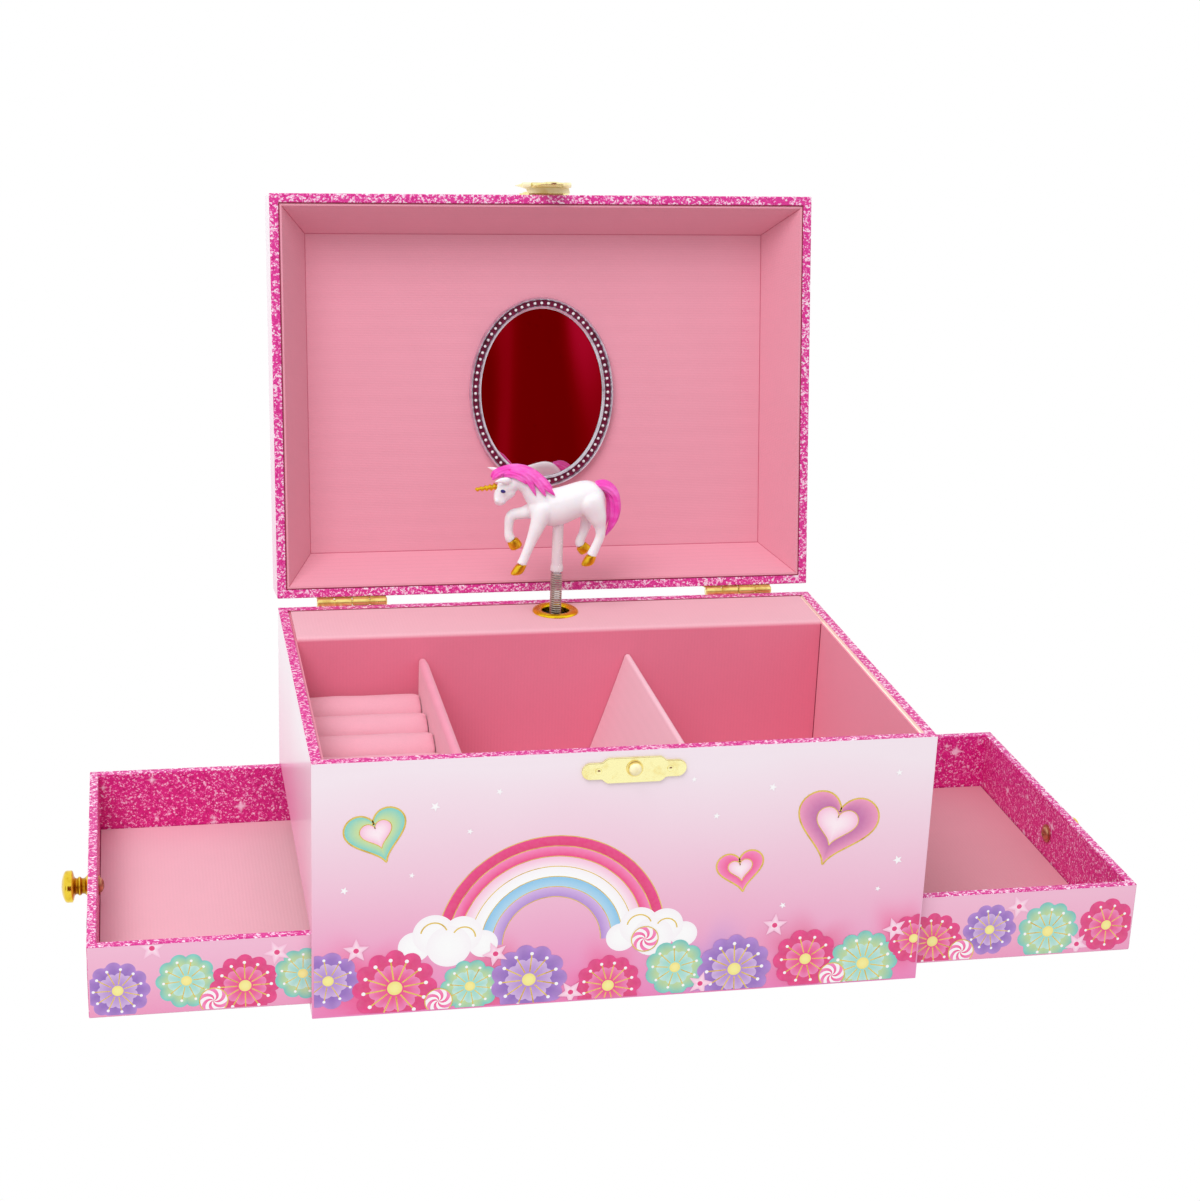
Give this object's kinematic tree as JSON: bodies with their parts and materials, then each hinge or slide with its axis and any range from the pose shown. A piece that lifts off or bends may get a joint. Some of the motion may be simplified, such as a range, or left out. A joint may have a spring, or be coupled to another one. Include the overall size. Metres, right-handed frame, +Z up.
{
  "type": "musical jewellery box",
  "caption": "Open musical jewellery box with hinged mirror lid, side drawers, ring rolls and a toy figure on a spring post turned by a comb movement.",
  "frame": {"origin": "centre of the underside of the case", "axes": "+X to the right seen from the front, +Y to the back, +Z up"},
  "size_m": [0.3649, 0.2007, 0.2395],
  "materials": {
    "laminate": "gloss laminated paper over board",
    "glitter_paper": "glitter paper",
    "bare_board": "bare board",
    "lining_paper": "ribbed matt paper",
    "pad_fabric": "soft ribbed cloth over foam",
    "brass": "polished",
    "steel": "satin",
    "spring_steel": "drawn wire",
    "gilt_plastic": "gold paint",
    "white_plastic": "glossy",
    "pink_plastic": "glossy",
    "eye_paint": "glossy",
    "clear_plastic": "frosted clear",
    "dark_plastic": "matt",
    "mirror": "silvered glass",
    "silver_metal": "aged silver plate"
  },
  "bodies": {
    "case": {"front_board": "laminate", "back_board": "laminate", "left_board": "laminate", "right_board": "laminate", "base_board": "laminate", "floor_board": "bare_board", "drawer_partition": "bare_board", "compartment_lining": "lining_paper", "floor_card": "lining_paper", "music_deck": "lining_paper", "padded_divider": "pad_fabric", "tent_divider": "lining_paper", "ring_platform": "lining_paper", "ring_rolls": "pad_fabric", "deck_ring": "brass", "clasp_plate": "brass", "clasp_stud": "brass", "case_nails": "brass", "hinge_case_leaves": "brass", "hinge_pins": "brass", "bedplate": "steel", "bedplate_screws": "steel", "spring_housing": "steel", "mainspring": "spring_steel", "comb": "steel", "comb_screws": "steel", "spindle_bracket": "steel", "governor_bracket": "steel"},
    "lid": {"lid_shell": "laminate", "lid_lining": "lining_paper", "lid_panel": "lining_paper", "mirror_frame": "silver_metal", "mirror_glass": "mirror", "hinge_lid_leaves": "brass", "lid_nails": "brass", "hasp_base": "brass", "hasp_pin": "brass"},
    "hasp": {"hasp_flap": "brass"},
    "left_drawer": {"left_drawer_tray": "glitter_paper", "left_drawer_card": "lining_paper", "left_knob": "brass", "left_knob_screw": "brass"},
    "right_drawer": {"right_drawer_tray": "glitter_paper", "right_drawer_card": "lining_paper", "right_knob": "brass", "right_knob_screw": "brass"},
    "key": {"winding_key": "brass", "winding_arbor": "steel", "great_wheel": "brass"},
    "music_spindle": {"spindle": "steel", "pinned_cylinder": "brass"},
    "governor": {"governor_wheel": "brass"},
    "air_brake": {"fly": "dark_plastic"},
    "spring_post": {"coil_spring": "spring_steel"},
    "figure": {"figure_tube": "clear_plastic", "unicorn_body": "white_plastic", "mane_and_tail": "pink_plastic", "horn": "gilt_plastic", "hooves": "gilt_plastic", "eyes": "eye_paint"}
  },
  "joints": [
    {"name": "lid_hinge", "type": "hinge", "parent": "case", "child": "lid", "pos_m": [0, 0.0745, 0.0876], "axis": [1, 0, 0], "range_deg": [0, 100.6]},
    {"name": "hasp_hinge", "type": "hinge", "parent": "lid", "child": "hasp", "pos_m": [0.0004, 0.10506, 0.23512], "axis": [-1, 0, 0], "range_deg": [-6, 80]},
    {"name": "left_drawer_slide", "type": "slide", "parent": "case", "child": "left_drawer", "axis": [-1, 0, 0], "range_m": [-0.0685, 0.0155]},
    {"name": "right_drawer_slide", "type": "slide", "parent": "case", "child": "right_drawer", "axis": [1, 0, 0], "range_m": [-0.078, 0.006]},
    {"name": "spindle_spin", "type": "hinge", "parent": "case", "child": "music_spindle", "pos_m": [0, 0.0604, 0.07], "axis": [0, 0, 1], "continuous": true},
    {"name": "key_spin", "type": "hinge", "parent": "case", "child": "key", "pos_m": [0, 0.07, 0.0466], "axis": [0, 1, 0], "continuous": true},
    {"name": "governor_spin", "type": "hinge", "parent": "case", "child": "governor", "pos_m": [-0.009, 0.0604, 0.07], "axis": [0, 0, 1], "continuous": true},
    {"name": "fly_spin", "type": "hinge", "parent": "case", "child": "air_brake", "pos_m": [-0.0154, 0.0604, 0.07], "axis": [0, 0, 1], "continuous": true},
    {"name": "post_bend", "type": "hinge", "parent": "case", "child": "spring_post", "pos_m": [0, 0.0604, 0.0943], "axis": [1, 0, 0], "range_deg": [0, 88], "deforming": ["coil_spring"]},
    {"name": "figure_spin", "type": "hinge", "parent": "spring_post", "child": "figure", "pos_m": [0, 0.0604, 0.11], "axis": [0, 0, 1], "continuous": true}
  ],
  "couplings": [
    {"joint": "key_spin", "follows": "spindle_spin", "ratio": -0.27778},
    {"joint": "governor_spin", "follows": "spindle_spin", "ratio": -3.5},
    {"joint": "fly_spin", "follows": "spindle_spin", "ratio": 10.5},
    {"joint": "figure_spin", "follows": "spindle_spin", "ratio": 1},
    {"joint": "post_bend", "follows": "lid_hinge", "ratio": 0.8745}
  ]
}
